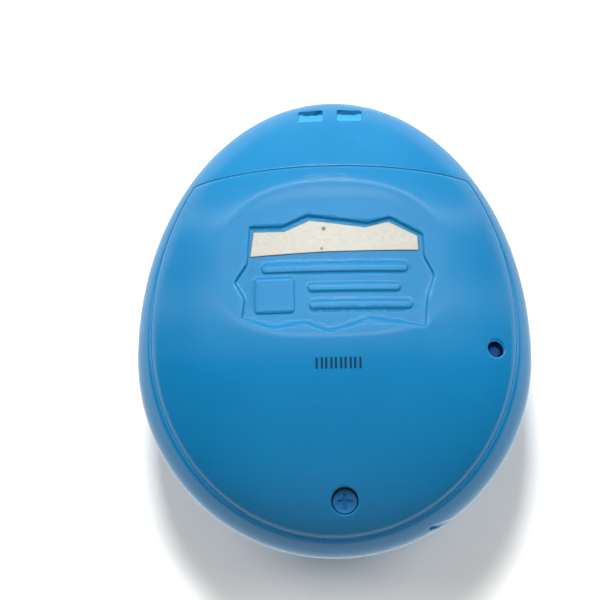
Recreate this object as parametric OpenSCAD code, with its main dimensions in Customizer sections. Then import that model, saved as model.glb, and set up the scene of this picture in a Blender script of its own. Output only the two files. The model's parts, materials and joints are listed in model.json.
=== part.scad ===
// Virtual pet keychain: an egg-shaped case with a colour display, three buttons and two AAA cells.
// Frame: X across, Y from the screen side (minus) to the battery cover (plus), Z up to the strap bar.
// The origin lies on the parting plane, level with the widest part of the egg.

/* [Case] */
// half of the case width
half_w = 28; // [27.8:0.1:28.4]
// height of the top of the egg above its widest level
rise = 37; // [36.6:0.1:37.4]
// thickness of the case wall
wall = 1.5; // [1.4:0.05:1.55]

/* [Battery cover] */
// gap between the cover and the rear case
seam = 0.15; // [0.1:0.01:0.2]
// depth of the recess round the label
recess = 0.35; // [0.25:0.05:0.45]
// diameter of the pin hole over the reset key
pin_hole_d = 2.4; // [2.2:0.1:2.6]

/* [Controls] */
// diameter of each button
button_d = 5.4; // [5.2:0.1:5.6]
// how far a button goes in
button_travel = 0.6; // [0.4:0.1:0.6]

/* [Strap] */
// width of the bar between the two strap slots
bar_w = 2; // [1.8:0.1:2.4]

/* [Hidden] */
$fn = 96;
drop = 28.5;
half_d = 14;
big = 60;

// levels along Y, from the front
face_y = -12.6;
front_y = -11;
inside_y = -9.4;
board_front = -7.4;
board_back = -6.6;
floor_front = -5.65;
floor_back = -4.75;

// cells
cell_d = 10.5;
cell_len = 44.5;
cell_y = 0.6;
cell_x = 0.5;
cell_upper_z = 6.6;
cell_lower_z = -4.4;
left_end = cell_x - cell_len / 2;
right_end = cell_x + cell_len / 2;
contact_gap = 1.1;
plate_t = 0.25;
lead_z = [-5, 7.5];

// display and buttons
screen_z = 5.5;
lens_w = 24.6;
button_spots = [[-7.8, -13.6], [0, -14.7], [7.8, -13.6]];
board_spots = [[-16, 12.5], [16, 12.5], [0, -19.8]];
case_spots = [[-15.5, 18.5], [15.5, 18.5], [-16.3, -13.6], [16.3, -13.6]];
dome_h = button_travel + 0.25;

// cover details
cover_low = 1.6;
screw_x = -1.2;
screw_z = -20.9;
well_floor = 6.2;
reset_x = -22.4;
reset_z = -0.3;
dish_z = 12;
dish_y = 12.3;
dish_r = 66;
dish_tilt = 8.5;

// ---------- shared shapes ----------

// solid egg: half an ellipsoid above the widest level and a shorter one below
module egg(w, d, up, down) {
  scale([w, d, up]) intersection() {
    rotate([0, 0, 45]) sphere(r = 1);
    translate([-2, -2, 0]) cube([4, 4, 2]);
  }
  scale([w, d, down]) intersection() {
    rotate([0, 0, 45]) sphere(r = 1);
    translate([-2, -2, -2]) cube([4, 4, 2]);
  }
}

// the case egg drawn in by t
module case_egg(t) {
  egg(half_w - t, half_d - t, rise - t, drop - t);
}

// everything in front of the plane y
module in_front_of(y) {
  translate([-big, y - 2 * big, -big]) cube([2 * big, 2 * big, 2 * big]);
}

// everything above the plane z
module above(z) {
  translate([-big, -big, z]) cube([2 * big, 2 * big, big]);
}

// flat shape in X and Z given a depth along Y
module along_y(y0, y1) {
  translate([0, y1, 0]) rotate([90, 0, 0]) linear_extrude(y1 - y0) children();
}

// flat egg outline
module egg_2d(w, up, down) {
  intersection() {
    scale([w, up]) circle(r = 1);
    translate([-w - 1, 0]) square([2 * w + 2, up + 1]);
  }
  intersection() {
    scale([w, down]) circle(r = 1);
    translate([-w - 1, -down - 1]) square([2 * w + 2, down + 1]);
  }
}

// rounded rectangle about the origin
module plate_2d(w, h, r) {
  square([w - 2 * r, h], center = true);
  square([w, h - 2 * r], center = true);
  for (x = [-1, 1], z = [-1, 1]) translate([x * (w / 2 - r), z * (h / 2 - r)]) circle(r = r, $fn = 32);
}

// seam line of the battery cover, grown by g
module cover_2d(g) {
  intersection() {
    translate([0, 2.2]) egg_2d(25.6 + g, 34 + g, 28.1 + g);
    translate([0, 25.6 - 146]) circle(r = 146 + g, $fn = 360);
  }
}

// ledge under the upper and lower edges of the cover
module ledge_2d() {
  difference() {
    cover_2d(3);
    cover_2d(-1.1);
    translate([-big, -12]) square([2 * big, 26.5]);
  }
}

// round bar along Y
module pin_y(d, y0, y1, fn = 48) {
  translate([0, y1, 0]) rotate([90, 0, 0]) cylinder(d = d, h = y1 - y0, $fn = fn);
}

// bar along the tilted dish, whose side is the dish floor when t is 0
module dish_roll(t) {
  translate([0, dish_y, dish_z]) rotate([dish_tilt, 0, 0]) translate([0, -dish_r, -45])
    cylinder(r = dish_r - t, h = 90, $fn = 720);
}

// outline of the label recess, irregular on purpose
module recess_2d() {
  translate([0, dish_z - 0.2]) polygon([
    [11.3, 5.1], [6.8, 5], [3.3, 6.5], [-5, 5.3], [-8.1, 6.1], [-12.6, 3.7],
    [-12.7, 0.6], [-14, -2.1], [-13, -5.2], [-12.6, -9.4], [-5, -8.2], [0.4, -10.1],
    [3.6, -8.7], [8.2, -9.4], [12.4, -7.9], [12, -5.2], [13.4, -2.7], [11.7, -0.2]
  ]);
}

// outline of the foil label, which follows the upper edge of the recess
module label_2d() {
  translate([0, dish_z - 0.2]) polygon([
    [10.8, 4.4], [6.5, 4.3], [3, 5.8], [-4.7, 4.7], [-7.9, 5.5], [-11.9, 3.5],
    [-12, 1.4], [0.9, 1.2], [11.3, 0.8]
  ]);
}

// ---------- case ----------

module front_shell() {
  color("SteelBlue") difference() {
    case_egg(0);
    difference() {
      case_egg(wall);
      in_front_of(inside_y);
      above(30.5);
      for (p = case_spots) translate([p[0], 0, p[1]]) pin_y(4.2, -12, floor_front - 0.05);
      for (p = board_spots) translate([p[0], 0, p[1]]) pin_y(3.2, -12, board_front - 0.05);
    }
    translate([-big, 0, -big]) cube([2 * big, big, 2 * big]);
    in_front_of(front_y);
    translate([0, 0, screen_z]) along_y(-20, -5) plate_2d(24, 24, 2);
    for (p = button_spots) translate([p[0], 0, p[1]]) pin_y(button_d + 0.16, -20, -8);
    for (p = button_spots) translate([p[0], 0, p[1]]) pin_y(6.8, inside_y, -6);
    for (p = case_spots) translate([p[0], 0, p[1]]) pin_y(1.4, -7.5, -4);
    for (p = board_spots) translate([p[0], 0, p[1]]) pin_y(1.2, -9, -6);
  }
}

module rear_case() {
  color("SteelBlue") difference() {
    case_egg(0);
    in_front_of(0);
    difference() {
      case_egg(wall);
      along_y(cover_low - 0.5, 20) ledge_2d();
      above(30.5);
    }
    difference() {
      case_egg(2.6);
      above(29.5);
    }
    difference() {
      along_y(cover_low - seam, 20) cover_2d(seam);
      case_egg(wall + 0.15);
    }
    for (s = [-1, 1]) translate([s * (bar_w / 2 + 1.75) - 1.75, 2.2, 33]) cube([3.5, 20, 1.9]);
    translate([-bar_w / 2 - 3.5, 2.2, 33]) cube([bar_w + 7, 1.2, 1.9]);
  }
}

module battery_cover() {
  color("SteelBlue") difference() {
    union() {
      difference() {
        intersection() {
          case_egg(0);
          along_y(cover_low, 20) cover_2d(0);
          dish_roll(0);
        }
        case_egg(wall + 0.1);
      }
      intersection() {
        case_egg(0.5);
        translate([screw_x, 0, screw_z]) pin_y(5.4, well_floor - 1.7, 20);
      }
      for (z = [-13, 16.5]) intersection() {
        case_egg(0.6);
        translate([-9, 8.4, z]) cube([18, 6, 0.9]);
      }
    }
    difference() {
      along_y(0, 20) difference() {
        recess_2d();
        marks_2d();
      }
      dish_roll(recess);
    }
    difference() {
      along_y(0, 20) marks_2d();
      dish_roll(recess - 0.2);
    }
    translate([screw_x, 0, screw_z]) pin_y(3.7, well_floor, 20);
    translate([screw_x, 0, screw_z]) pin_y(1.9, -1, 20);
    translate([reset_x, 0, reset_z]) pin_y(pin_hole_d, -1, 20);
  }
}

// plain raised bars and a square pad where such covers carry lettering
module marks_2d() {
  translate([-0.4, dish_z - 1.2]) plate_2d(20, 1.2, 0.5);
  translate([7.9, dish_z - 5]) plate_2d(5.4, 5, 0.5);
  translate([-3, dish_z - 4]) plate_2d(12.6, 1.1, 0.5);
  translate([-3.9, dish_z - 6.5]) plate_2d(14, 1.1, 0.5);
}

module foil_label() {
  color("Tan") intersection() {
    along_y(5, 20) label_2d();
    dish_roll(recess - 0.13);
    difference() {
      cube([2 * big, 2 * big, 2 * big], center = true);
      dish_roll(recess - 0.01);
    }
  }
}

module cover_screw() {
  color("Silver") translate([screw_x, 0, screw_z]) difference() {
    union() {
      pin_y(3.3, well_floor + 0.02, well_floor + 1.2);
      pin_y(1.7, 0.2, well_floor + 0.1);
    }
    translate([-0.25, well_floor + 0.6, -1.1]) cube([0.5, 2, 2.2]);
    translate([-1.1, well_floor + 0.6, -0.25]) cube([2.2, 2, 0.5]);
  }
}

module screw_retainer() {
  color("Black") translate([screw_x, 0, screw_z]) difference() {
    pin_y(3.6, 3.8, 4.4);
    pin_y(1.74, 3, 5);
  }
}

module face_bezel() {
  color("WhiteSmoke") translate([0, 0, screen_z]) difference() {
    translate([0, front_y - 0.02, 0]) rotate([90, 0, 0]) union() {
      cylinder(r = 16.4, h = front_y - 0.02 - face_y - 0.5);
      translate([0, 0, front_y - 0.02 - face_y - 0.5]) cylinder(r1 = 16.4, r2 = 15.9, h = 0.5);
    }
    along_y(-20, -11.3) plate_2d(lens_w + 0.2, lens_w + 0.2, 5);
    along_y(-20, -5) plate_2d(22.4, 22.4, 3);
  }
}

module lens_tape() {
  color("Black") translate([0, 0, screen_z]) along_y(-11.42, -11.32) difference() {
    plate_2d(24.2, 24.2, 4.8);
    plate_2d(22.8, 22.8, 3.2);
  }
}

module screen_lens() {
  color("LightCyan") translate([0, 0, screen_z]) along_y(-12.4, -11.44) plate_2d(lens_w, lens_w, 4.9);
}

// ---------- display ----------

module lcd_panel() {
  color("DarkSlateGray") translate([0, 0, screen_z]) along_y(-9.3, -8.3) square([23.4, 23.4], center = true);
}

module backlight() {
  color("White") translate([0, 0, screen_z]) along_y(-8.26, -7.62) square([23.4, 23.4], center = true);
}

module lcd_frame() {
  color("White") translate([0, 0, screen_z]) along_y(-9, board_front - 0.03) difference() {
    plate_2d(25.4, 25.4, 1.5);
    square([23.5, 23.5], center = true);
    translate([-6, 8]) square([12, 8]);
  }
}

module lcd_ribbon() {
  color("Orange") translate([0, 0, screen_z]) {
    translate([-5.5, -8.9, 11.8]) cube([11, 0.12, 2.6]);
    translate([-5.5, -8.9, 14.28]) cube([11, 1.42, 0.12]);
    translate([-5.5, -7.6, 14.28]) cube([11, 0.12, 3]);
  }
}

// ---------- board ----------

module main_board() {
  color("SeaGreen") along_y(board_front, board_back) difference() {
    egg_2d(20.8, 27, 21.2);
    for (p = case_spots) translate(p) circle(d = 4.8);
    for (p = board_spots) translate(p) circle(d = 1.8);
  }
}

module processor() {
  color("Black") translate([-8.5, board_back + 0.01, -19]) cube([6, 0.8, 4.6]);
}

module memory_chip() {
  color("Black") translate([3, board_back + 0.01, -18.6]) cube([5, 0.8, 4]);
}

module crystal() {
  color("Silver") translate([9.4, board_back + 0.46, -14.5]) rotate([0, 90, 0]) cylinder(d = 0.9, h = 3.6, $fn = 32);
}

module small_parts() {
  color("BurlyWood") for (i = [0:5]) translate([-12 + 2.2 * i, board_back + 0.01, -12.9]) cube([1.2, 0.5, 0.7]);
  color("BurlyWood") for (i = [0:2]) translate([9 + 2 * i, board_back + 0.01, 14.6 - i]) cube([1.2, 0.5, 0.7]);
}

module sounder_disc() {
  color("Gold") translate([0, 0, 20]) pin_y(12, board_back + 0.01, board_back + 0.21);
}

module sounder_element() {
  color("White") translate([0, 0, 20]) pin_y(9, board_back + 0.22, board_back + 0.43);
}

// ---------- keys ----------

module key_pad() {
  color("DimGray") {
    along_y(board_front - 0.5, board_front - 0.02) hull() {
      for (p = button_spots) translate(p) circle(r = 3.1, $fn = 32);
    }
    for (p = button_spots) translate([p[0], board_front - 0.4, p[1]]) rotate([90, 0, 0])
      cylinder(r1 = 2.6, r2 = 1.6, h = dome_h);
  }
}

// button cap with a flange that keeps it in the shell
module button_at(p) {
  color("WhiteSmoke") translate([p[0], 0, p[1]]) {
    pin_y(6.6, inside_y + 0.08, board_front - 0.43 - dome_h);
    pin_y(button_d, -11.7, -9.2, 96);
    translate([0, -11.7, 0]) rotate([90, 0, 0]) cylinder(d1 = button_d, d2 = button_d - 0.8, h = 0.4);
  }
}

module button_left() {
  button_at(button_spots[0]);
}

module button_middle() {
  button_at(button_spots[1]);
}

module button_right() {
  button_at(button_spots[2]);
}

module reset_key() {
  color("Navy") {
    translate([reset_x, 0, reset_z]) pin_y(1.5, -5.3, 4.4);
    translate([reset_x, -5.4, reset_z - 0.8]) cube([4.6, 1, 1.6]);
  }
}

module reset_switch() {
  color("Black") {
    translate([-20.1, board_back + 0.01, reset_z - 1.5]) cube([3, 0.5, 3]);
    translate([-18.8, 0, reset_z]) pin_y(1.4, board_back + 0.4, -5.88);
  }
}

// ---------- battery bay ----------

module battery_tray() {
  color("LightSteelBlue") intersection() {
    case_egg(wall + 0.2);
    difference() {
      union() {
        along_y(floor_front, floor_back) egg_2d(24.6, 29.6, 24);
        bay_walls();
        translate([screw_x, 0, screw_z]) pin_y(4, floor_front, 3.4);
        translate([-24.7, floor_front, reset_z - 1.3]) cube([3.5, 8.6, 2.6]);
      }
      for (p = case_spots) translate([p[0], 0, p[1]]) pin_y(1.9, -10, 0);
      translate([screw_x, 0, screw_z]) pin_y(1.76, floor_front + 1.5, 10);
      translate([reset_x, 0, reset_z]) pin_y(1.64, -10, 10);
      translate([-24, -6.5, reset_z - 1]) cube([7, 2.6, 2]);
      translate([-24, -6.5, reset_z - 1.9]) cube([7.6, 1.3, 3.8]);
      translate([-7, -8, 13.5]) cube([14, 6, 13]);
      for (z = lead_z) translate([-23, -6.5, z - 0.45]) cube([4.5, 2, 0.9]);
    }
  }
}

// walls round the two cells, with ribs that they lie against
module bay_walls() {
  translate([left_end - contact_gap - plate_t - 0.75, floor_front, -10.6]) cube([0.7, 8.4, 23.4]);
  translate([right_end + contact_gap + plate_t + 0.05, floor_front, -10.6]) cube([0.7, 8.4, 23.4]);
  translate([-24, floor_front, 12.2]) cube([49, 7.6, 0.9]);
  translate([-24, floor_front, -10.9]) cube([49, 7.2, 0.9]);
}

// one cell: can, insulated rim and the small button on its positive end
module cell(z, flip) {
  color("Goldenrod") translate([cell_x, cell_y, z]) rotate([0, flip ? -90 : 90, 0]) rotate_extrude()
    polygon([
      [0, -cell_len / 2], [4.6, -cell_len / 2], [cell_d / 2, 0.4 - cell_len / 2],
      [cell_d / 2, cell_len / 2 - 1.2], [4.8, cell_len / 2 - 0.8], [1.9, cell_len / 2 - 0.8],
      [1.9, cell_len / 2], [0, cell_len / 2]
    ]);
}

module battery_cell_upper() {
  cell(cell_upper_z, false);
}

module battery_cell_lower() {
  cell(cell_lower_z, true);
}

// point n of a ring of the coil that lies at turn a
function coil_point(a, n, turns, r0, r1, len, wire) =
  let (r = r0 + (r1 - r0) * a / turns / 360, x = wire + (len - 2 * wire) * a / turns / 360)
  [x + wire * sin(n), (r + wire * cos(n)) * cos(a), (r + wire * cos(n)) * sin(a)];

// conical coil that starts wide at x = 0 and ends narrow at x = len
module coil(turns, r0, r1, len, wire) {
  rings = turns * 20;
  around = 8;
  points = [
    for (i = [0:rings], k = [0:around - 1])
      coil_point(i * 18, k * 360 / around, turns, r0, r1, len, wire)
  ];
  sides = [
    for (i = [0:rings - 1], k = [0:around - 1])
      let (a = i * around + k, b = i * around + (k + 1) % around) each [[a, b, b + around], [a, b + around, a + around]]
  ];
  start = [for (k = [1:around - 2]) [0, k + 1, k]];
  end = [for (k = [1:around - 2]) [rings * around, rings * around + k, rings * around + k + 1]];
  polyhedron(points = points, faces = concat(sides, start, end));
}

module spring_upper() {
  color("Silver") translate([left_end - contact_gap + 0.02, cell_y, cell_upper_z]) coil(3, 3, 1.6, contact_gap - 0.04, 0.19);
}

module spring_lower() {
  color("Silver") translate([right_end + contact_gap - 0.02, cell_y, cell_lower_z]) rotate([0, 180, 0])
    coil(3, 3, 1.6, contact_gap - 0.04, 0.19);
}

// raised dimple that meets the button of a cell
module dimple(x, z, way) {
  translate([x, cell_y, z]) rotate([0, way * 90, 0]) cylinder(r1 = 2.5, r2 = 1.6, h = contact_gap - 0.02);
}

module contact_link() {
  color("Silver") {
    translate([right_end + contact_gap, cell_y - 3.9, -7.8]) cube([plate_t, 6.7, 17.4]);
    dimple(right_end + contact_gap, cell_upper_z, -1);
  }
}

module contact_positive() {
  color("Silver") {
    translate([left_end - contact_gap - plate_t, cell_y - 3.9, -7.8]) cube([plate_t, 6.7, 6]);
    dimple(left_end - contact_gap, cell_lower_z, 1);
  }
}

module contact_negative() {
  color("Silver") translate([left_end - contact_gap - plate_t, cell_y - 3.9, 3.4]) cube([plate_t, 6.7, 6.6]);
}

// lead from the foot of a contact, through the floor slot and down to the board
module lead(z) {
  translate([left_end - contact_gap + 0.37, 0, z]) {
    pin_y(0.7, -5.15, -2.95, 24);
    translate([0, -5.15, 0]) sphere(d = 0.7, $fn = 24);
    translate([0, -5.15, 0]) rotate([0, 90, 0]) cylinder(d = 0.7, h = 3.5, $fn = 24);
    translate([3.5, -5.15, 0]) sphere(d = 0.7, $fn = 24);
    translate([3.5, 0, 0]) pin_y(0.7, board_back + 0.02, -5.15, 24);
  }
}

module lead_red() {
  color("Red") lead(lead_z[0]);
}

module lead_black() {
  color("Black") lead(lead_z[1]);
}

// ---------- screws ----------

// pan head screw that points to the front, with its seat at y
module small_screw(y, head, shank, length) {
  difference() {
    union() {
      pin_y(head, y + 0.01, y + 0.9);
      pin_y(shank, y - length, y + 0.1);
    }
    translate([-0.2, y + 0.45, -head / 3]) cube([0.4, 2, head * 2 / 3]);
    translate([-head / 3, y + 0.45, -0.2]) cube([head * 2 / 3, 2, 0.4]);
  }
}

module case_screws() {
  color("Silver") for (p = case_spots) translate([p[0], 0, p[1]]) small_screw(floor_back, 2.8, 1.36, 2.4);
}

module board_screws() {
  color("Silver") for (p = board_spots) translate([p[0], 0, p[1]]) small_screw(board_back, 2.2, 1.16, 2);
}

front_shell();
rear_case();
battery_cover();
cover_screw();
screw_retainer();
foil_label();
face_bezel();
screen_lens();
lens_tape();
lcd_panel();
lcd_frame();
backlight();
lcd_ribbon();
main_board();
processor();
memory_chip();
crystal();
small_parts();
key_pad();
button_left();
button_middle();
button_right();
sounder_disc();
sounder_element();
battery_tray();
battery_cell_upper();
battery_cell_lower();
spring_upper();
spring_lower();
contact_link();
contact_positive();
contact_negative();
lead_red();
lead_black();
reset_key();
reset_switch();
case_screws();
board_screws();
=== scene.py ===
import json
import math

import bmesh
import bpy
import numpy as np
from mathutils import Matrix, Vector
from mathutils.geometry import delaunay_2d_cdt


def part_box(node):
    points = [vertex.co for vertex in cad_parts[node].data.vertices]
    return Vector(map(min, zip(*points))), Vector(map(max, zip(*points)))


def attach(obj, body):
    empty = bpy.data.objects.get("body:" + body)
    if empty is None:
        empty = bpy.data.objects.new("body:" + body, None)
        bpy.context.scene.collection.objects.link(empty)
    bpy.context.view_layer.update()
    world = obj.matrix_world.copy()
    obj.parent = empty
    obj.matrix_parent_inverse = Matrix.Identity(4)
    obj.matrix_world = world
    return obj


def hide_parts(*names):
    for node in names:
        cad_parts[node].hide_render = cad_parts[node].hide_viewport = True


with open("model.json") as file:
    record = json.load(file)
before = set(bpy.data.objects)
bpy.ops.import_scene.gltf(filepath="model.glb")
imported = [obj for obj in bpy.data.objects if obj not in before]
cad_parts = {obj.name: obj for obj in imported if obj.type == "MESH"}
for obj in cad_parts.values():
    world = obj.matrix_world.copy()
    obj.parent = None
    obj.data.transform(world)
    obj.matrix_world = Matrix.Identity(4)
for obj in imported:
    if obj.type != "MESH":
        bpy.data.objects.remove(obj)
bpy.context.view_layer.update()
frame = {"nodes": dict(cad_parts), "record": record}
MM = 0.001

# ---------- sizes in mm, read from the frame ----------


def box_mm(node):
    """Lowest and highest corner of a node's box."""
    lo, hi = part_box(node)
    return np.array(lo) / MM, np.array(hi) / MM


case_lo, case_hi = box_mm("front_shell")
# egg: half width, height above and below the origin, half depth before its front is flattened
W = (case_hi[0] - case_lo[0]) / 2
UP, DOWN = case_hi[2], -case_lo[2]
D = 14.0
WALL = 1.5
FLAT_Y = case_lo[1]
INSIDE_Y = -9.4
# above this level the shells are solid
FILLED_Z = 30.5
# gap round the battery cover, and how far from it the seam's walls may lie
GAP = 0.02
SEAM_REACH = 0.25
COVER_LOW = box_mm("battery_cover")[0][1]

screw_lo, screw_hi = box_mm("cover_screw")
SCREW = ((screw_lo[0] + screw_hi[0]) / 2, (screw_lo[2] + screw_hi[2]) / 2)
# screw well, the boss below it and the bore for the shank
WELL_R, WELL_FLOOR, BOSS_R, BOSS_LOW, BORE_R = 1.85, 6.2, 2.7, 4.5, 0.95
key_lo, key_hi = box_mm("reset_key")
KEY_HALF = 0.75
PIN = (key_lo[0] + KEY_HALF, (key_lo[2] + key_hi[2]) / 2)
PIN_R = 1.2
# dish floor: depth and level of its middle, radius across, and lean
DISH_Y, DISH_Z, DISH_R, DISH_TILT = 12.3, 12.0, 66.0, math.radians(8.5)
# the dish's oval: half width, half height, level of its middle and squareness
OVAL_X, OVAL_Z, OVAL_MID, OVAL_POWER = 15, 10.7, 11.7, 3.5
RECESS = 0.35
lens_lo, lens_hi = box_mm("screen_lens")
SCREEN_Z = (lens_lo[2] + lens_hi[2]) / 2
BUTTON_BOXES = [box_mm("button_" + side) for side in ("left", "middle", "right")]
BUTTONS = [tuple((lo + hi)[[0, 2]] / 2) for lo, hi in BUTTON_BOXES]
BUTTON_HOLE_R = 2.78
WINDOW = 24

# jagged outlines, (x, z) from the middle of the recess
RECESS_SHAPE = [
    (11.3, 5.1), (6.8, 5), (3.3, 6.5), (-5, 5.3), (-8.1, 6.1), (-12.6, 3.7),
    (-12.7, 0.6), (-14, -2.1), (-13, -5.2), (-12.6, -9.4), (-5, -8.2), (0.4, -10.1),
    (3.6, -8.7), (8.2, -9.4), (12.4, -7.9), (12, -5.2), (13.4, -2.7), (11.7, -0.2),
]
LABEL_SHAPE = [
    (10.8, 4.4), (6.5, 4.3), (3, 5.8), (-4.7, 4.7), (-7.9, 5.5), (-11.9, 3.5),
    (-12, 1.4), (0.9, 1.2), (11.3, 0.8),
]
SHAPE_Z = DISH_Z - 0.2
# raised bars and pad: (x, z, width, height)
MARKS = [
    (-0.4, DISH_Z - 1.2, 20, 1.2), (7.9, DISH_Z - 5, 5.4, 5),
    (-3, DISH_Z - 4, 12.6, 1.1), (-3.9, DISH_Z - 6.5, 14, 1.1),
]

# ---------- flat outlines ----------


def dense(points, step):
    """The closed outline with points no further apart than step."""
    points = np.asarray(points, float)
    out = []
    for a, b in zip(points, np.roll(points, -1, 0)):
        n = max(1, int(math.ceil(np.linalg.norm(b - a) / step)))
        out.extend(a + (b - a) * i / n for i in range(n))
    return np.array(out)


def circle(c, r, n=64):
    """Round outline with n points."""
    a = np.arange(n) * 2 * math.pi / n
    return np.stack([c[0] + r * np.cos(a), c[1] + r * np.sin(a)], 1)


def rounded_rect(c, w, h, r, per=8):
    """Rectangle w by h round c, with corners of radius r."""
    out = []
    for k, (sx, sz) in enumerate([(1, 1), (-1, 1), (-1, -1), (1, -1)]):
        for i in range(per + 1):
            a = math.pi / 2 * (k + i / per)
            out.append((c[0] + sx * (w / 2 - r) + r * math.cos(a), c[1] + sz * (h / 2 - r) + r * math.sin(a)))
    return np.array(out)


def moved_out(loop, d):
    """The counter-clockwise outline moved outwards by d."""
    prev, nxt = np.roll(loop, 1, 0), np.roll(loop, -1, 0)
    e0, e1 = loop - prev, nxt - loop
    e0 /= np.linalg.norm(e0, axis=1)[:, None]
    e1 /= np.linalg.norm(e1, axis=1)[:, None]
    n0 = np.stack([e0[:, 1], -e0[:, 0]], 1)
    n1 = np.stack([e1[:, 1], -e1[:, 0]], 1)
    n = n0 + n1
    n /= np.linalg.norm(n, axis=1)[:, None]
    return loop + n * (d / np.clip((n * n0).sum(1), 0.5, 1))[:, None]


def ccw(loop):
    """The outline, turned to run counter-clockwise."""
    x, y = loop[:, 0], loop[:, 1]
    area = (x * np.roll(y, -1) - y * np.roll(x, -1)).sum()
    return loop if area > 0 else loop[::-1]


def signed(points, loop):
    """Distance from each point to the outline, negative inside."""
    points = np.asarray(points, float)
    best = np.full(len(points), 1e9)
    inside = np.zeros(len(points), bool)
    nxt = np.roll(loop, -1, 0)
    for a, b in zip(loop, nxt):
        ab, ap = b - a, points - a
        t = np.clip((ap @ ab) / max(ab @ ab, 1e-12), 0, 1)
        best = np.minimum(best, np.hypot(*(ap - t[:, None] * ab).T))
        cross = (a[1] > points[:, 1]) != (b[1] > points[:, 1])
        with np.errstate(divide="ignore", invalid="ignore"):
            x = (b[0] - a[0]) * (points[:, 1] - a[1]) / (b[1] - a[1]) + a[0]
        inside ^= cross & (points[:, 0] < x)
    return np.where(inside, -best, best)


def seam_outline(g, n=420):
    """Seam of the battery cover, grown by g: an egg cut off by a wide arc at the top."""
    a = np.arange(n) * 2 * math.pi / n
    x = (25.6 + g) * np.cos(a)
    z = 2.2 + np.where(np.sin(a) > 0, 34 + g, 28.1 + g) * np.sin(a)
    r, zc = 146 + g, 25.6 - 146
    low = np.hypot(x, z - zc) <= r
    side = np.stack([x, z], 1)[low]
    order = np.argsort((np.arctan2(side[:, 1] - 25, side[:, 0]) - math.pi / 2) % (2 * math.pi))
    side = side[order]
    left, right = side[0], side[-1]
    steps = np.linspace(right[0], left[0], 70)[1:-1]
    top = np.stack([steps, zc + np.sqrt(r * r - steps**2)], 1)
    return ccw(np.concatenate([side, top]))


# ---------- the egg ----------


def height(z, t=0.0):
    """Half height of the egg, which differs above and below the origin."""
    return np.where(z >= 0, UP - t, DOWN - t)


def egg_y(x, z, t=0.0):
    """Depth of the egg drawn in by t, over the point (x, z)."""
    q = 1 - (x / (W - t)) ** 2 - (z / height(z, t)) ** 2
    return (D - t) * np.sqrt(np.clip(q, 0, None))


def to_disc(xz):
    """Point over the case to the unit disc whose rim is the parting line."""
    u, v = xz[:, 0] / W, xz[:, 1] / height(xz[:, 1])
    c = np.clip(np.hypot(u, v), 1e-9, 1)
    rho = np.arcsin(c) * 2 / math.pi
    return np.stack([u / c * rho, v / c * rho], 1)


def from_disc(p, t=0.0):
    """Disc point to (x, y, z) on the egg drawn in by t."""
    rho = np.clip(np.hypot(p[:, 0], p[:, 1]), 1e-9, 1)
    s = np.sin(rho * math.pi / 2) / rho
    x, zz = p[:, 0] * s * (W - t), p[:, 1] * s
    z = np.where(p[:, 1] >= 0, UP - t, DOWN - t) * zz
    return x, (D - t) * np.cos(rho * math.pi / 2), z


def soft_min(a, b, k):
    """The lower of two values, with the corner between them rounded over k."""
    h = np.clip(0.5 + 0.5 * (b - a) / k, 0, 1)
    return b * (1 - h) + a * h - k * h * (1 - h)


def smooth(a, b, x):
    """0 up to a, 1 from b, and an even S between them."""
    t = np.clip((x - a) / (b - a), 0, 1)
    return t * t * (3 - 2 * t)


def rolled(d, r):
    """How far a rounded edge of radius r has dropped, d in from the edge."""
    d = np.clip(d, 0, r)
    return r - np.sqrt(np.clip(r * r - (r - d) ** 2, 0, None))


def eased(d, width, deep):
    """How far a gently sloping edge has dropped, d in from the edge."""
    return deep * np.clip(1 - d / width, 0, 1) ** 2


def dish_y(x, z):
    """Floor of the dish, which rises to meet the case round an oval rim."""
    side = np.sqrt(DISH_R**2 - x**2) - DISH_R
    across, up = np.abs(x / OVAL_X), np.abs((z - OVAL_MID) / OVAL_Z)
    oval = (across**OVAL_POWER + up**OVAL_POWER) ** (1 / OVAL_POWER)
    lift = 0.26 * smooth(0.78, 1.12, oval)
    return DISH_Y + lift + (side - math.sin(DISH_TILT) * (z - DISH_Z)) / math.cos(DISH_TILT)


# ---------- meshes ----------


def triangulate(loops, fill, keep):
    """Triangles over the area where keep(centres) holds. loops are closed outlines kept as edges."""
    pts = [p for loop in loops for p in loop]
    edges, start = [], 0
    for loop in loops:
        n = len(loop)
        edges += [(start + i, start + (i + 1) % n) for i in range(n)]
        start += n
    pts += list(fill)
    v, _, f, _, _, _ = delaunay_2d_cdt([Vector(p) for p in pts], edges, [], 0, 1e-6)
    v = np.array([tuple(p) for p in v])
    f = np.array([tri for tri in f if len(tri) == 3])
    f = f[keep(v[f].mean(1))]
    used = np.unique(f)
    where = np.full(len(v), -1)
    where[used] = np.arange(len(used))
    return v[used], where[f]


def hexagonal(lo, hi, step):
    """Points in staggered rows over a rectangle."""
    rows = np.arange(lo[1], hi[1], step * 0.866)
    out = []
    for i, y in enumerate(rows):
        xs = np.arange(lo[0] + (i % 2) * step / 2, hi[0], step)
        out.append(np.stack([xs, np.full(len(xs), y)], 1))
    return np.concatenate(out)


def clear_of(points, loops, gap):
    """The points that lie at least gap from every outline point."""
    keep = np.ones(len(points), bool)
    for loop in loops:
        for p in loop:
            keep &= (points[:, 0] - p[0]) ** 2 + (points[:, 1] - p[1]) ** 2 > gap * gap
    return points[keep]


WELD = 0.0008


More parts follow.
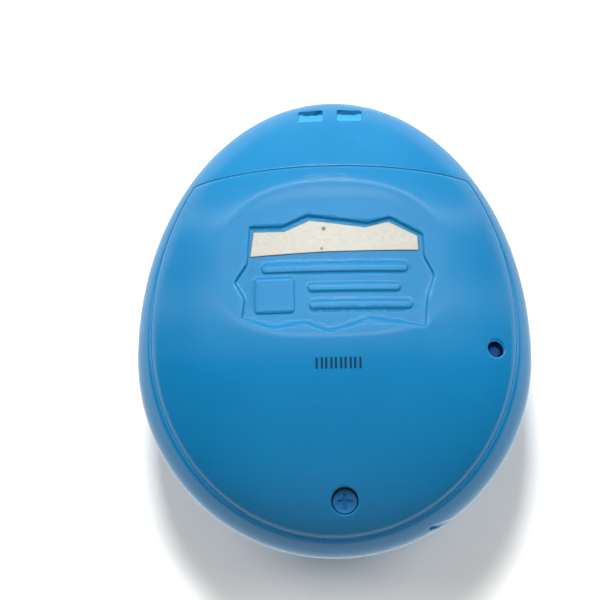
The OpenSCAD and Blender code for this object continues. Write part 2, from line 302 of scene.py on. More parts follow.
class Shape:
    """Collects points and faces in mm, then welds them into one mesh."""

    def __init__(self):
        self.v, self.f = [], []

    def add(self, points, faces):
        """Adds points and the faces that count from the first of them."""
        n = len(self.v)
        self.v.extend(tuple(p) for p in points)
        self.f.extend(tuple(int(i) + n for i in f) for f in faces)

    def strip(self, a, b):
        """Wall between two closed rings with the same count of points."""
        n = len(a)
        self.add(list(a) + list(b), [(i, (i + 1) % n, n + (i + 1) % n, n + i) for i in range(n)])

    def disc(self, ring):
        """One flat face inside a ring."""
        self.add(list(ring), [tuple(range(len(ring)))])

    def make(self, name, angle):
        """The object, with edges sharper than angle degrees kept crisp."""
        mesh = bpy.data.meshes.new(name)
        mesh.from_pydata([tuple(c * MM for c in p) for p in self.v], [], self.f)
        bm = bmesh.new()
        bm.from_mesh(mesh)
        bmesh.ops.remove_doubles(bm, verts=bm.verts, dist=WELD * MM)
        bmesh.ops.recalc_face_normals(bm, faces=bm.faces)
        bm.to_mesh(mesh)
        bm.free()
        mesh.shade_smooth()
        mesh.set_sharp_from_angle(angle=math.radians(angle))
        ob = bpy.data.objects.new(name, mesh)
        bpy.context.collection.objects.link(ob)
        return ob


def ring3(loop, y):
    """Flat outline to a ring at depth y, which is one number or one per point."""
    y = np.broadcast_to(y, (len(loop),))
    return np.stack([loop[:, 0], y, loop[:, 1]], 1)


def back_edges(faces):
    """Open edges of a triangle sheet, in face order."""
    seen = {}
    for f in faces:
        for a, b in zip(f, np.roll(f, -1)):
            seen[(int(a), int(b))] = True
    return [e for e in seen if (e[1], e[0]) not in seen]


def close_sheets(shape, top, under, faces):
    """Adds a sheet, its underside and the walls along all open edges."""
    n = len(top)
    sides = [(a, n + a, n + b, b) for a, b in back_edges(faces)]
    shape.add(
        list(top) + list(under),
        [tuple(f) for f in faces] + [tuple(n + i for i in f[::-1]) for f in faces] + sides,
    )


# ---------- battery cover ----------

seam0 = seam_outline(0)
recess_loop = ccw(dense([(x, z + SHAPE_Z) for x, z in RECESS_SHAPE], 0.45))
mark_loops = [ccw(dense(rounded_rect((x, z), w, h, 0.5, 5), 0.4)) for x, z, w, h in MARKS]


MARK_HEIGHT = 0.2
EDGE_ROUND = 0.22
EDGE_STEPS = (0, 0.05, 0.12, EDGE_ROUND, 0.5)


def profile(d, deep, half=0.2):
    """Step of depth deep across an outline, d being the distance outside it."""
    return deep * (1 - smooth(-half, half, d))


def cover_top(xz):
    """Depth of the cover's outer face over each point."""
    x, z = xz[:, 0], xz[:, 1]
    y = soft_min(egg_y(x, z), dish_y(x, z), 0.22)
    y = y - profile(signed(xz, recess_loop), RECESS)
    for loop in mark_loops:
        y = y + profile(signed(xz, loop), MARK_HEIGHT, 0.1)
    y = y - eased(-signed(xz, seam0), 0.6, 0.2 + 0.16 * smooth(22, 5, z))
    y = y - rolled(from_centre(xz, SCREW) - WELL_R, EDGE_ROUND)
    y = y - rolled(from_centre(xz, PIN) - PIN_R, EDGE_ROUND)
    return y


def from_centre(xz, c):
    """Distance of each point from c."""
    return np.hypot(xz[:, 0] - c[0], xz[:, 1] - c[1])


def dish_rim():
    """Where the dish floor meets the egg."""
    out = []
    for a in np.arange(0, 2 * math.pi, math.pi / 90):
        r = np.linspace(2, 24, 800)
        x, z = r * math.cos(a), DISH_Z + r * math.sin(a)
        gap = egg_y(x, z) - dish_y(x, z)
        i = int(np.argmax(gap < 0))
        out.append((x[i], z[i]))
    return np.array(out)


def glow_in_seam(ob, index):
    """Gives the walls of the seam round the cover a painted glow, an emission that stands in for light
    carried through the plastic.
    """
    ob.data.materials.append(plastic_with_painted_glow("seam_wall_painted_glow", (0.006, 0.085, 0.19), 0.25))
    mids = np.array([f.center for f in ob.data.polygons]) / MM
    upright = np.array([abs(f.normal[1]) < 0.5 for f in ob.data.polygons])
    d = signed(mids[:, [0, 2]], seam0)
    for i in np.nonzero(upright & (d > -GAP) & (d < SEAM_REACH))[0]:
        ob.data.polygons[i].material_index = index


def build_cover():
    """Battery cover with its dish, recess, raised marks, screw well and pin hole."""
    rim = ccw(dish_rim())
    well = [circle(SCREW, WELL_R + d) for d in EDGE_STEPS]
    pin = [circle(PIN, PIN_R + d) for d in EDGE_STEPS]
    rings = [moved_out(seam0, -d) for d in (0.03, 0.08, 0.16, 0.28, 0.42, 0.75)]
    steps = [moved_out(recess_loop, d) for d in (-0.2, -0.1, 0, 0.1, 0.2)]
    marks = [moved_out(m, d) for m in mark_loops for d in (-0.11, -0.05, 0.05, 0.11)]
    dish = [moved_out(rim, d) for d in (-0.5, -0.25, 0, 0.25, 0.5)]
    loops = [seam0] + rings + well + pin + steps + marks
    extra = np.concatenate(dish)
    extra = extra[signed(extra, seam0) < -1]
    area = (-26, -27), (26, 27)
    fill = clear_of(np.concatenate([extra, hexagonal(*area, 0.62)]), loops[1:], 0.22)
    fill = fill[signed(fill, seam0) < -0.9]

    def keep(c, screw_r=WELL_R):
        clear = (from_centre(c, SCREW) > screw_r * 0.999) & (from_centre(c, PIN) > PIN_R * 0.999)
        return clear & (signed(c, seam0) < -1e-4)

    v, f = triangulate(loops, fill, keep)
    shape = Shape()
    shape.add(ring3(v, cover_top(v)), f)

    boss = circle(SCREW, BOSS_R)
    pin_low = circle(PIN, PIN_R)
    inner_fill = hexagonal(*area, 1.3)
    inner_fill = inner_fill[signed(inner_fill, seam0) < -0.9]
    inner_fill = clear_of(inner_fill, [boss, pin_low], 0.5)

    def under(p):
        return np.maximum(egg_y(p[:, 0], p[:, 1], WALL + 0.1), COVER_LOW)

    v, f = triangulate([seam0, boss, pin_low], inner_fill, lambda c: keep(c, BOSS_R))
    shape.add(ring3(v, under(v)), [t[::-1] for t in f])
    shape.strip(ring3(seam0, cover_top(seam0)), ring3(seam0, under(seam0)))
    shape.strip(ring3(pin[0], cover_top(pin[0])), ring3(pin_low, under(pin_low)))
    bore, floor = circle(SCREW, BORE_R), circle(SCREW, WELL_R)
    shape.strip(ring3(well[0], cover_top(well[0])), ring3(floor, WELL_FLOOR))
    shape.strip(ring3(floor, WELL_FLOOR), ring3(bore, WELL_FLOOR))
    shape.strip(ring3(bore, WELL_FLOOR), ring3(bore, BOSS_LOW))
    shape.strip(ring3(bore, BOSS_LOW), ring3(boss, BOSS_LOW))
    shape.strip(ring3(boss, BOSS_LOW), ring3(boss, under(boss)))
    ob = shape.make("cover_skin", 50)
    ob.data.materials.append(blue_plastic())
    # the pin hole's walls get a painted glow in place of light coming through the plastic
    ob.data.materials.append(plastic_with_painted_glow("pin_wall_painted_glow", (0.012, 0.16, 0.36), 0.8))
    for face in ob.data.polygons:
        c = np.array(face.center) / MM
        if math.hypot(c[0] - PIN[0], c[2] - PIN[1]) < PIN_R:
            face.material_index = 1
    glow_in_seam(ob, 2)
    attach(ob, "cover")
    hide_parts("battery_cover")
    return ob


# ---------- case halves ----------


def rim_groove(y):
    """How far the shell is drawn in beside the parting line."""
    return 0.13 * np.clip(1 - np.abs(y) / 0.2, 0, 1) ** 2


def rim_rings():
    """Rings of the unit disc close to the parting line, the first at the line itself."""
    rings = []
    for y in (0.0, 0.04, 0.09, 0.15, 0.21, 0.45):
        rho = 1 - math.asin(y / D) * 2 / math.pi
        rings.append(circle((0, 0), rho, 480))
    return rings


# strap slots: two openings, and the passage behind the bar that joins them
SLOT_X, SLOT_Z, SLOT_W, SLOT_H = 2.75, 33.95, 3.5, 1.9
SLOTS = [rounded_rect((side * SLOT_X, SLOT_Z), SLOT_W, SLOT_H, 0.3, 4) for side in (-1, 1)]
SLOT_FLOOR, SLOT_CROSS = 2.2, 3.4
PASSAGE_W, PASSAGE_H = 9.04, 1.94

# ends of the shallow slot for prying the halves apart
PRY_SLOT = ((-13.0, -24.55), (-15.9, -23.5))


def along(xz, a, b):
    """Distance from each point to the line from a to b."""
    a, ab = np.array(a), np.array(b) - np.array(a)
    t = np.clip(((xz - a) @ ab) / (ab @ ab), 0, 1)
    return np.hypot(*(xz - a - t[:, None] * ab).T)


def capsule(a, b, r):
    """Outline at distance r round the line from a to b."""
    a, b = np.array(a), np.array(b)
    turn = math.atan2(*(b - a)[::-1])
    flat = rounded_rect((0, 0), np.hypot(*(b - a)) + 2 * r, 2 * r, r * 0.98, 6)
    c, s = math.cos(turn), math.sin(turn)
    return ccw(dense(flat @ np.array([[c, s], [-s, c]]) + (a + b) / 2, 0.3))


def rear_outer(p):
    """Outer face of the rear half over points of the unit disc."""
    x, y, z = from_disc(p)
    g = rim_groove(y)
    xz = np.stack([x, z], 1)
    drop = eased(signed(xz, seam_outline(GAP)), 0.6, 0.05 + 0.33 * smooth(22, 5, z))
    drop = drop + 0.55 * (1 - smooth(0.1, 0.26, along(xz, *PRY_SLOT)))
    for loop in SLOTS:
        drop = drop + rolled(signed(xz, loop), 0.15)
    k = 1 - g / W
    return np.stack([x * k, np.maximum(y - drop, 0), z * k], 1)


def rear_under(p):
    """Inner face of the rear half, solid at the strap bar."""
    x0, y0, z0 = from_disc(p)
    x1, y1, z1 = from_disc(p, WALL)
    xz = np.stack([x0, z0], 1)
    w = smooth(0.05, 3.0, signed(xz, seam_outline(GAP)))
    under = np.maximum(egg_y(x0, z0, WALL), COVER_LOW - 0.2)
    x = x0 + (x1 - x0) * w
    y = under + (y1 - under) * w
    z = z0 + (z1 - z0) * w
    fill = smooth(FILLED_Z - 0.6, FILLED_Z, z0)
    x, z = x + (x0 * 0.995 - x) * fill, z + (z0 * 0.995 - z) * fill
    return np.stack([x, np.minimum(y * (1 - fill), y0), z], 1)


def build_rear():
    """Rear half round the battery cover, with the strap slots and the pry slot."""
    seam = seam_outline(GAP)
    rim = rim_rings()
    seam_rings = [moved_out(seam, d) for d in (0, 0.04, 0.1, 0.2, 0.32, 0.45, 0.7)]
    seam_rings += [capsule(*PRY_SLOT, r) for r in (0.09, 0.17, 0.27, 0.4)]
    slot_rings = [moved_out(s, d) for s in SLOTS for d in (0, 0.06, 0.15, 0.35)]
    loops = rim + [to_disc(r) for r in seam_rings + slot_rings]
    fill = clear_of(hexagonal((-1, -1), (1, 1), 0.022), loops, 0.009)
    fill = fill[np.hypot(fill[:, 0], fill[:, 1]) < 0.975]

    def keep(c):
        x, _, z = from_disc(c)
        xz = np.stack([x, z], 1)
        ok = signed(xz, seam) > 1e-4
        for s in SLOTS:
            ok &= signed(xz, s) > 1e-4
        return ok & (np.hypot(c[:, 0], c[:, 1]) < 1)

    v, f = triangulate(loops, fill, keep)
    top, under = rear_outer(v), rear_under(v)
    x, _, z = from_disc(v)
    near = np.zeros(len(v), bool)
    for s in SLOTS:
        near |= np.abs(signed(np.stack([x, z], 1), s)) < 0.003
    under[near, 1] = SLOT_CROSS
    under[near, 0], under[near, 2] = x[near], z[near]
    shape = Shape()
    n = len(top)
    edges = back_edges(f)
    shape.add(list(top) + list(under), [tuple(t) for t in f])
    low = [t for t in f if not near[t].any()]
    shape.add(list(under), [tuple(t[::-1]) for t in low])
    shape.add(list(top) + list(under), [(a, n + a, n + b, b) for a, b in edges])
    slot_pocket(shape)
    ob = shape.make("rear_skin", 50)
    ob.data.materials.append(blue_plastic())
    # the floors of the strap slots get a painted glow in place of light coming through the thin plastic
    ob.data.materials.append(plastic_with_painted_glow("slot_floor_painted_glow", (0.05, 0.36, 0.64), 1.5))
    for face in ob.data.polygons:
        x, y, z = (c / MM for c in face.center)
        in_slots = abs(x) < PASSAGE_W / 2 + 0.04 and abs(z - SLOT_Z) < PASSAGE_H / 2 + 0.03
        if in_slots and y < egg_y(x, z) - 0.5 and abs(face.normal[1]) > 0.9:
            face.material_index = 1
    glow_in_seam(ob, 2)
    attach(ob, "case")
    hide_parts("rear_case")
    return ob


def slot_pocket(shape):
    """The cross passage behind the strap bar that joins the two slots."""
    w, h = PASSAGE_W / 2, PASSAGE_H / 2
    corners = [(-w, SLOT_Z - h), (w, SLOT_Z - h), (w, SLOT_Z + h), (-w, SLOT_Z + h)]
    outline = dense(ccw(np.array(corners)), 0.6)

    def keep(c):
        ok = signed(c, outline) < -1e-4
        for s in SLOTS:
            ok &= signed(c, s) > 1e-4
        return ok

    v, f = triangulate([outline] + SLOTS, np.zeros((0, 2)), keep)
    shape.add(ring3(v, SLOT_CROSS), f)
    shape.strip(ring3(outline, SLOT_CROSS), ring3(outline, SLOT_FLOOR))
    shape.disc(ring3(outline, SLOT_FLOOR))


def front_outer(p):
    """Outer face of the front half, flat where the bezel sits."""
    x, y, z = from_disc(p)
    g = rim_groove(y)
    y = soft_min(y, np.full(len(y), -FLAT_Y), 0.25)
    xz = np.stack([x, z], 1)
    for c in BUTTONS:
        y = y - rolled(np.hypot(x - c[0], z - c[1]) - BUTTON_HOLE_R, 0.2)
    k = 1 - g / W
    return np.stack([x * k, -y, z * k], 1)


def front_under(p):
    """Inner face of the front half."""
    x0, y0, z0 = from_disc(p)
    x1, y1, z1 = from_disc(p, WALL)
    w = 1 - smooth(7.5, 9.2, y0)
    flat = np.minimum(egg_y(x0, z0, WALL), -INSIDE_Y)
    x, z = x0 + (x1 - x0) * w, z0 + (z1 - z0) * w
    y = flat + (np.minimum(y1, -INSIDE_Y) - flat) * w
    fill = smooth(FILLED_Z - 0.6, FILLED_Z, z0)
    x, z = x + (x0 * 0.995 - x) * fill, z + (z0 * 0.995 - z) * fill
    return np.stack([x, -np.minimum(y * (1 - fill), y0), z], 1)


def build_front():
    """Front half with the window opening and the button holes."""
    rim = rim_rings()
    window = ccw(dense(rounded_rect((0, SCREEN_Z), WINDOW, WINDOW, 2), 0.8))
    holes = [circle(c, BUTTON_HOLE_R + d) for c in BUTTONS for d in (0, 0.05, 0.12, 0.2, 0.45)]
    loops = rim + [to_disc(r) for r in [window] + holes]
    fill = clear_of(hexagonal((-1, -1), (1, 1), 0.024), loops, 0.009)
    fill = fill[np.hypot(fill[:, 0], fill[:, 1]) < 0.975]

    def keep(c):
        x, _, z = from_disc(c)
        xz = np.stack([x, z], 1)
        ok = signed(xz, window) > 1e-4
        for b in BUTTONS:
            ok &= np.hypot(x - b[0], z - b[1]) > BUTTON_HOLE_R * 0.999
        return ok & (np.hypot(c[:, 0], c[:, 1]) < 1)

    v, f = triangulate(loops, fill, keep)
    shape = Shape()
    close_sheets(shape, front_outer(v), front_under(v), f)
    ob = shape.make("front_skin", 50)
    ob.data.materials.append(blue_plastic())
    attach(ob, "case")
    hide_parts("front_shell")
    return ob


# ---------- label and marks ----------

# dark specks on the foil: (x, z, radius)
SPECKS = [(1.05, 16.35, 0.36), (1.35, 13.5, 0.25)]


def edge_and_specks(co, loop):
    """1 at the label's cut edge and in its two dark specks, 0 elsewhere."""
    dark = 1 - smooth(0.03, 0.1, -signed(co[:, [0, 2]], loop))
    for x, z, r in SPECKS:
        dark = np.maximum(dark, 1 - smooth(r * 0.6, r, np.hypot(co[:, 0] - x, co[:, 2] - z)))
    return dark


def build_label():
    """Foil sheet in the upper part of the recess."""
    loop = ccw(dense([(x, z + SHAPE_Z) for x, z in LABEL_SHAPE], 0.5))
    rings = [moved_out(loop, -d) for d in (0, 0.03, 0.08, 0.2)]
    fill = clear_of(hexagonal((-13, 8), (13, 20), 0.16), rings, 0.1)
    fill = fill[signed(fill, loop) < -0.3]
    v, f = triangulate(rings, fill, lambda c: signed(c, loop) < -1e-4)
    d = -signed(v, loop)
    base = dish_y(v[:, 0], v[:, 1]) - RECESS
    top = base + 0.13 - rolled(d, 0.08)
    shape = Shape()
    close_sheets(shape, ring3(v, top), ring3(v, base + 0.01), f)
    ob = shape.make("label_sheet", 40)
    rim = ob.data.attributes.new("rim", "FLOAT", "POINT")
    co = np.array([v.co for v in ob.data.vertices]) / MM
    rim.data.foreach_set("value", edge_and_specks(co, loop).astype(np.float32))
    ob.data.materials.append(foil())
    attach(ob, "cover")
    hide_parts("foil_label")


def build_stamp():
    """Row of plain ink dashes where such covers carry a printed number."""
    count, first_x, step, shift, level = 10, 2.25, 0.65, 0.06, -2.6
    shape = Shape()
    for i in range(count):
        c = (first_x - i * step - (i % 2) * shift, level)
        loop = ccw(rounded_rect(c, 0.3, 1.6, 0.12, 4))
        v, f = triangulate([loop], np.zeros((0, 2)), lambda p: signed(p, loop) < 0)
        y = cover_top(v)
        close_sheets(shape, ring3(v, y + 0.012), ring3(v, y - 0.01), f)
    ob = shape.make("ink_dashes", 40)
    ob.data.materials.append(ink())
    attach(ob, "cover")


# ---------- materials ----------

_made = {}


def nodes_for(name):
    """A new material, its node tree and its main shader."""
    m = bpy.data.materials.new(name)
    m.use_nodes = True
    t = m.node_tree
    return m, t, t.nodes["Principled BSDF"]


def link(t, a, b):
    """Joins output a to input b in the node tree t."""
    t.links.new(a, b)


def noise(t, scale, detail=4.0, rough=0.5):
    """Noise in the object's own space, scale in cycles per metre."""
    coord = t.nodes.new("ShaderNodeTexCoord")
    n = t.nodes.new("ShaderNodeTexNoise")
    n.inputs["Scale"].default_value = scale
    n.inputs["Detail"].default_value = detail
    n.inputs["Roughness"].default_value = rough
    link(t, coord.outputs["Object"], n.inputs["Vector"])
    return n


def ramp(t, source, stops):
    """Colour ramp with the given (position, colour) stops."""
    r = t.nodes.new("ShaderNodeValToRGB")
    r.color_ramp.elements[0].position, r.color_ramp.elements[0].color = stops[0][0], (*stops[0][1], 1)
    r.color_ramp.elements[1].position, r.color_ramp.elements[1].color = stops[-1][0], (*stops[-1][1], 1)
    for pos, col in stops[1:-1]:
        e = r.color_ramp.elements.new(pos)
        e.color = (*col, 1)
    link(t, source, r.inputs["Fac"])
    return r


def bump(t, source, strength, distance):
    """Fine relief from the source, distance in metres."""
    b = t.nodes.new("ShaderNodeBump")
    b.inputs["Strength"].default_value = strength
    b.inputs["Distance"].default_value = distance
    link(t, source, b.inputs["Height"])
    return b


def surface(name, color, rough, metal=0.0, spread=0.12, grain=900.0, bump_mm=0.004):
    """A worn, slightly uneven surface: colour and roughness vary, edges are paler, and it has fine relief."""
    if name in _made:
        return _made[name]
    m, t, p = nodes_for(name)
    big = noise(t, grain / 12)
    fine = noise(t, grain)
    lo = tuple(c * (1 - spread) for c in color)
    hi = tuple(min(1, c * (1 + spread) + 0.004) for c in color)
    tone = ramp(t, big.outputs["Fac"], [(0.3, lo), (0.7, hi)])
    geo = t.nodes.new("ShaderNodeNewGeometry")
    edge = ramp(t, geo.outputs["Pointiness"], [(0.52, (0, 0, 0)), (0.6, (1, 1, 1))])
    mix = t.nodes.new("ShaderNodeMix")
    mix.data_type = "RGBA"
    link(t, edge.outputs["Color"], mix.inputs[0])
    link(t, tone.outputs["Color"], mix.inputs[6])
    mix.inputs[7].default_value = (*(min(1, c * 1.25 + 0.02) for c in color), 1)
    link(t, mix.outputs[2], p.inputs["Base Color"])
    r = ramp(t, fine.outputs["Fac"], [(0.3, (rough * 0.8,) * 3), (0.7, (min(1, rough * 1.2),) * 3)])
    link(t, r.outputs["Color"], p.inputs["Roughness"])
    p.inputs["Metallic"].default_value = metal
    b = bump(t, fine.outputs["Fac"], 0.4, bump_mm * MM)
    link(t, b.outputs["Normal"], p.inputs["Normal"])
    _made[name] = m
    return m


def blue_plastic():
    """Glossy moulded plastic with a little light carried inside it."""
    if "blue" in _made:
        return _made["blue"]
    m, t, p = nodes_for("blue_plastic")
    flow = noise(t, 35, 3)
    fine = noise(t, 420, 6, 0.6)
    tone = ramp(t, flow.outputs["Fac"], [(0.3, (0.0026, 0.11, 0.245)), (0.7, (0.004, 0.128, 0.28))])
    link(t, tone.outputs["Color"], p.inputs["Base Color"])
    r = ramp(t, fine.outputs["Fac"], [(0.3, (0.1,) * 3), (0.75, (0.17,) * 3)])
    link(t, r.outputs["Color"], p.inputs["Roughness"])
    p.inputs["IOR"].default_value = 1.5
    p.inputs["Subsurface Weight"].default_value = 0.25
    p.inputs["Subsurface Radius"].default_value = (0.3, 0.8, 1.0)
    p.inputs["Subsurface Scale"].default_value = 0.0015
    b = bump(t, fine.outputs["Fac"], 0.25, 0.01 * MM)
    link(t, b.outputs["Normal"], p.inputs["Normal"])
    _made["blue"] = m
    return m


def plastic_with_painted_glow(name, glow, strength, color=(0.01, 0.2, 0.42), rough=0.35):
    """Blue plastic inside a hole, whose emission is a painted glow that stands in for light coming through
    the plastic.
    """
    m = surface(name, color, rough)
    p = m.node_tree.nodes["Principled BSDF"]
    p.inputs["Emission Color"].default_value = (*glow, 1)
    p.inputs["Emission Strength"].default_value = strength
    return m


def foil():
    """Brushed foil with a brown cut edge and specks."""
    m, t, p = nodes_for("foil")
    coord = t.nodes.new("ShaderNodeTexCoord")
    stretch = t.nodes.new("ShaderNodeMapping")
    stretch.inputs["Scale"].default_value = (1500, 1500, 4200)
    link(t, coord.outputs["Object"], stretch.inputs["Vector"])
    lines = t.nodes.new("ShaderNodeTexNoise")
    lines.inputs["Scale"].default_value = 1.0
    lines.inputs["Detail"].default_value = 3
    link(t, stretch.outputs["Vector"], lines.inputs["Vector"])
    tone = ramp(t, lines.outputs["Fac"], [(0.3, (0.32, 0.315, 0.28)), (0.7, (0.39, 0.385, 0.35))])
    rim = t.nodes.new("ShaderNodeAttribute")
    rim.attribute_name = "rim"
    mix = t.nodes.new("ShaderNodeMix")
    mix.data_type = "RGBA"
    link(t, rim.outputs["Fac"], mix.inputs[0])
    link(t, tone.outputs["Color"], mix.inputs[6])
    mix.inputs[7].default_value = (0.16, 0.09, 0.04, 1)
    link(t, mix.outputs[2], p.inputs["Base Color"])
    p.inputs["Metallic"].default_value = 0.5
    r = ramp(t, lines.outputs["Fac"], [(0.3, (0.34,) * 3), (0.7, (0.46,) * 3)])
    link(t, r.outputs["Color"], p.inputs["Roughness"])
    b = bump(t, lines.outputs["Fac"], 0.25, 0.01 * MM)
    link(t, b.outputs["Normal"], p.inputs["Normal"])
    return m


def ink():
    """Dull printing ink."""
    m = surface("ink", (0.004, 0.022, 0.05), 0.5, spread=0.25)
    m.node_tree.nodes["Principled BSDF"].inputs["Specular IOR Level"].default_value = 0.1
    m.node_tree.nodes["Mix"].inputs[7].default_value = (0.004, 0.022, 0.05, 1)
    return m


# material slot: colour, roughness, metal
LOOKS = {
    # the screw is steel; the blue of its colour is a painted reflection of the blue plastic round its well
    "screw_steel": ((0.02, 0.2, 0.5), 0.3, 0.85),
    "retainer_black": ((0.02, 0.02, 0.02), 0.5, 0.0),
    "bezel_white": ((0.6, 0.62, 0.63), 0.2, 0.0),
    "tape_black": ((0.015, 0.015, 0.015), 0.8, 0.0),
    "frame_white": ((0.8, 0.8, 0.78), 0.45, 0.0),
    "backlight_white": ((0.85, 0.87, 0.9), 0.35, 0.0),
    "ribbon_amber": ((0.5, 0.2, 0.04), 0.35, 0.0),
    "board_green": ((0.01, 0.1, 0.035), 0.35, 0.0),
    "chip_black": ((0.015, 0.015, 0.016), 0.55, 0.0),
    "crystal_can": ((0.6, 0.6, 0.6), 0.28, 1.0),
    "ceramic_tan": ((0.42, 0.3, 0.18), 0.5, 0.0),
    "pad_rubber": ((0.06, 0.06, 0.065), 0.7, 0.0),
    "button_white": ((0.62, 0.63, 0.62), 0.22, 0.0),
    "brass": ((0.7, 0.48, 0.15), 0.3, 1.0),
    "ceramic_white": ((0.8, 0.8, 0.75), 0.4, 0.0),
    "tray_blue": ((0.03, 0.17, 0.32), 0.4, 0.0),
    "cell_can": ((0.55, 0.38, 0.06), 0.3, 0.6),
    "spring_steel": ((0.7, 0.7, 0.71), 0.2, 1.0),
    "lead_red": ((0.5, 0.02, 0.015), 0.4, 0.0),
    "lead_black": ((0.02, 0.02, 0.02), 0.45, 0.0),
}


def clear_lens():
    """Clear moulded window with fine wear."""
    m, t, p = nodes_for("lens_clear")
    fine = noise(t, 300, 5)
    r = ramp(t, fine.outputs["Fac"], [(0.3, (0.03,) * 3), (0.75, (0.09,) * 3)])
    link(t, r.outputs["Color"], p.inputs["Roughness"])
    tone = ramp(t, fine.outputs["Fac"], [(0.3, (0.9, 0.95, 0.97)), (0.7, (0.97, 0.99, 1.0))])
    link(t, tone.outputs["Color"], p.inputs["Base Color"])
    p.inputs["Transmission Weight"].default_value = 1.0
    p.inputs["IOR"].default_value = 1.49
    return m


def lcd_glass():
    """Unlit display: grey-green glass over a fine grid of cells."""
    cell_mm = 0.6
    m = surface("lcd_glass", (0.2, 0.24, 0.19), 0.12, spread=0.03, bump_mm=0.0003)
    t = m.node_tree
    coord = t.nodes.new("ShaderNodeTexCoord")
    split = t.nodes.new("ShaderNodeSeparateXYZ")
    flat = t.nodes.new("ShaderNodeCombineXYZ")
    link(t, coord.outputs["Object"], split.inputs[0])
    link(t, split.outputs[0], flat.inputs[0])
    link(t, split.outputs[2], flat.inputs[1])
    cells = t.nodes.new("ShaderNodeTexBrick")
    cells.offset = 0
    cells.inputs["Scale"].default_value = 1 / (cell_mm * MM)
    cells.inputs["Brick Width"].default_value = 1
    cells.inputs["Row Height"].default_value = 1
    cells.inputs["Mortar Size"].default_value = 0.06
    cells.inputs["Color1"].default_value = (0.19, 0.23, 0.18, 1)
    cells.inputs["Color2"].default_value = (0.2, 0.24, 0.19, 1)
    cells.inputs["Mortar"].default_value = (0.25, 0.29, 0.24, 1)
    link(t, flat.outputs[0], cells.inputs["Vector"])
    link(t, cells.outputs["Color"], t.nodes["Principled BSDF"].inputs["Base Color"])
    return m


def dress_cad():
    """Gives every CAD node the look of its slot."""
    for part in frame["record"]["subparts"]:
        ob = frame["nodes"][part["node"]]
        slot = part["material_slot"]
        if slot == "lens_clear":
            made = clear_lens()
        elif slot == "lcd_glass":
            made = lcd_glass()
        elif slot == "key_blue":
            # the reset key gets a painted glow in place of light coming through the plastic
            made = plastic_with_painted_glow("key_blue", (0.006, 0.05, 0.19), 0.8, (0.008, 0.1, 0.26), 0.4)
        elif slot in LOOKS:
            made = surface(slot, *LOOKS[slot])
        else:
            made = blue_plastic()
        ob.data.materials.clear()
        ob.data.materials.append(made)
        ob.data.shade_smooth()
        ob.data.set_sharp_from_angle(angle=math.radians(30))


# ---------- stage, light and camera ----------


def seen_from_front_only(m, t):
    """Shows the sheet to the camera from its front; from behind, and for light, it is not there."""
    out = t.nodes["Material Output"]
    shader = t.nodes["Principled BSDF"].outputs[0]
    geo = t.nodes.new("ShaderNodeNewGeometry")
    clear = t.nodes.new("ShaderNodeBsdfTransparent")
    path = t.nodes.new("ShaderNodeLightPath")
    facing = t.nodes.new("ShaderNodeMath")
    facing.operation = "SUBTRACT"
    facing.use_clamp = True
    link(t, path.outputs["Is Camera Ray"], facing.inputs[0])
    link(t, geo.outputs["Backfacing"], facing.inputs[1])
    mix = t.nodes.new("ShaderNodeMixShader")
    link(t, facing.outputs[0], mix.inputs[0])
    link(t, clear.outputs[0], mix.inputs[1])
    link(t, shader, mix.inputs[2])
    link(t, mix.outputs[0], out.inputs["Surface"])


def build_stage():
    """Pale sheet under the display side, which the toy lies against as on a table."""
    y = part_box("face_bezel")[0][1] - 0.0002
    s = 1.2
    mesh = bpy.data.meshes.new("table_sheet")
    mesh.from_pydata([(-s, y, -s), (-s, y, s), (s, y, s), (s, y, -s)], [], [(0, 1, 2, 3)])
    ob = bpy.data.objects.new("table_sheet", mesh)
    bpy.context.collection.objects.link(ob)
    m, t, p = nodes_for("table_white")
    n = noise(t, 60, 3)
    tone = ramp(t, n.outputs["Fac"], [(0.3, (0.76, 0.76, 0.75)), (0.7, (0.8, 0.8, 0.79))])
    link(t, tone.outputs["Color"], p.inputs["Base Color"])
    p.inputs["Roughness"].default_value = 0.7
    seen_from_front_only(m, t)
    mesh.materials.append(m)


def lamp(name, where, size, power):
    """Area light aimed at the toy that brightens surfaces but is not mirrored in them."""
    data = bpy.data.lights.new(name, "AREA")
    data.shape = "RECTANGLE"
    data.size, data.size_y = size
    data.energy = power
    ob = bpy.data.objects.new(name, data)
    ob.location = where
    ob.rotation_mode = "QUATERNION"
    ob.rotation_quaternion = (-Vector(where)).to_track_quat("-Z", "Y")
    ob.visible_glossy = False
    bpy.context.collection.objects.link(ob)


# brightness of the room mirrored in glossy surfaces, from straight down (0) to straight up (1)
MIRRORED = [
    (0.0, 0.3), (0.3, 0.14), (0.52, 0.15), (0.6, 1.0), (0.65, 3.4), (0.7, 1.5), (0.77, 1.8), (0.8, 5.0),
    (0.83, 1.6), (0.87, 0.7), (1.0, 0.7),
]


# the strongest brightness a colour ramp's white stands for
BRIGHT = 6.0


def map_range(t, source, start, end):
    """Maps the source from the pair start to the pair end, held at the ends."""
    n = t.nodes.new("ShaderNodeMapRange")
    n.inputs["From Min"].default_value, n.inputs["From Max"].default_value = start
    n.inputs["To Min"].default_value, n.inputs["To Max"].default_value = end
    link(t, source, n.inputs["Value"])
    return n.outputs[0]


def math_node(t, operation, *sources):
    """One sum or product of the sources."""
    n = t.nodes.new("ShaderNodeMath")
    n.operation = operation
    for i, source in enumerate(sources):
        link(t, source, n.inputs[i])
    return n.outputs[0]


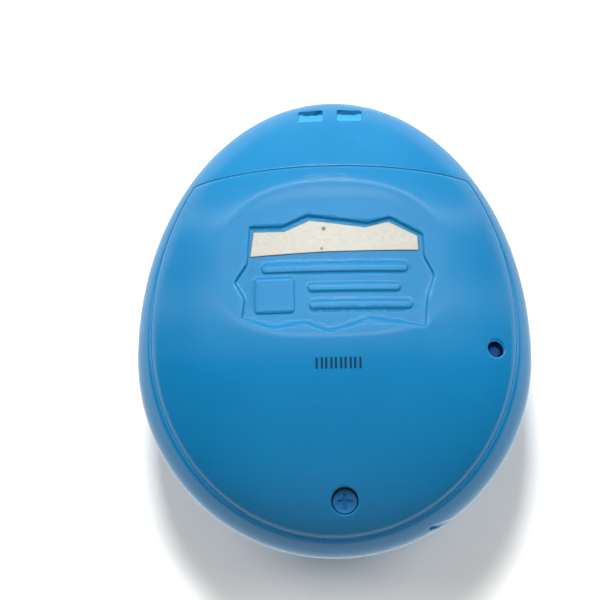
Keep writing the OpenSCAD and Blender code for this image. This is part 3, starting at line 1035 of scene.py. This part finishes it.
def mirrored_room(t, x, z, behind):
    """Colour of the mirrored room: bands by height, dimmer at the sides, plain behind the toy."""
    rise = map_range(t, z, (-1, 1), (0, 1))
    tone = ramp(t, rise, [(pos, (v / BRIGHT,) * 3) for pos, v in MIRRORED])
    side = math_node(t, "ABSOLUTE", x)
    fade = ramp(t, side, [(0.25, (1, 1, 1)), (0.85, (0.22, 0.22, 0.22))])
    both = t.nodes.new("ShaderNodeMix")
    both.data_type, both.blend_type = "RGBA", "MULTIPLY"
    both.inputs[0].default_value = 1
    link(t, tone.outputs["Color"], both.inputs[6])
    link(t, fade.outputs["Color"], both.inputs[7])
    near = t.nodes.new("ShaderNodeMix")
    near.data_type = "RGBA"
    link(t, behind, near.inputs[0])
    link(t, both.outputs[2], near.inputs[6])
    near.inputs[7].default_value = (0.15, 0.175, 0.19, 1)
    return near.outputs[2]


def build_world():
    """Even soft light, brighter from below the table's level; glossy surfaces mirror their own room."""
    world = bpy.data.worlds.new("soft_room")
    bpy.context.scene.world = world
    world.use_nodes = True
    t = world.node_tree
    coord = t.nodes.new("ShaderNodeTexCoord")
    split = t.nodes.new("ShaderNodeSeparateXYZ")
    link(t, coord.outputs["Generated"], split.inputs[0])
    x, y, z = split.outputs
    behind = map_range(t, y, (-0.02, -0.2), (0, 1))
    bounce = map_range(t, behind, (0, 1), (0.31, 3.0))
    deep = map_range(t, y, (-0.2, -0.75), (1.0, 0.2))
    plain = t.nodes["Background"]
    plain.inputs[0].default_value = (1, 1, 1, 1)
    link(t, math_node(t, "MULTIPLY", bounce, deep), plain.inputs[1])
    mirrored = t.nodes.new("ShaderNodeBackground")
    link(t, mirrored_room(t, x, z, behind), mirrored.inputs[0])
    mirrored.inputs[1].default_value = BRIGHT
    path = t.nodes.new("ShaderNodeLightPath")
    mix = t.nodes.new("ShaderNodeMixShader")
    link(t, path.outputs["Is Glossy Ray"], mix.inputs[0])
    link(t, plain.outputs[0], mix.inputs[1])
    link(t, mirrored.outputs[0], mix.inputs[2])
    link(t, mix.outputs[0], t.nodes["World Output"].inputs["Surface"])


def build_light():
    """A window high behind the toy's back, a fill on each side and one on the display side."""
    build_world()
    lamp("window", (0.02, 0.35, 0.33), (0.12, 0.12), 4.0)
    lamp("left_fill", (0.36, 0.34, 0.2), (0.3, 0.3), 1.6)
    lamp("right_fill", (-0.36, 0.34, 0.16), (0.3, 0.3), 1.6)
    lamp("front_fill", (0.1, -0.5, 0.35), (0.5, 0.5), 1.2)


def build_camera():
    """Looks at the back from a little below level, with the toy right of and below the picture's centre."""
    az, el, far = math.radians(180.5), math.radians(-8), 0.262
    sensor_mm, seen_mm = 36, 85.7
    roll = math.radians(-0.8)
    centre = Vector((0, 0, 0.0033))
    back = Vector((math.sin(az) * math.cos(el), -math.cos(az) * math.cos(el), math.sin(el)))
    data = bpy.data.cameras.new("camera")
    data.sensor_width = sensor_mm
    data.lens = sensor_mm * far / (seen_mm * MM)
    ob = bpy.data.objects.new("camera", data)
    ob.location = centre + back * far
    ob.rotation_mode = "QUATERNION"
    aim = centre + Vector((0.00475, 0, 0.00498))
    turn = (aim - ob.location).to_track_quat("-Z", "Y")
    ob.rotation_quaternion = turn @ Matrix.Rotation(roll, 3, "Z").to_quaternion()
    bpy.context.collection.objects.link(ob)
    bpy.context.scene.camera = ob


dress_cad()
build_cover()
build_rear()
build_front()
build_label()
build_stamp()
build_stage()
build_light()
build_camera()
bpy.context.scene.view_settings.view_transform = "Standard"
bpy.context.view_layer.update()
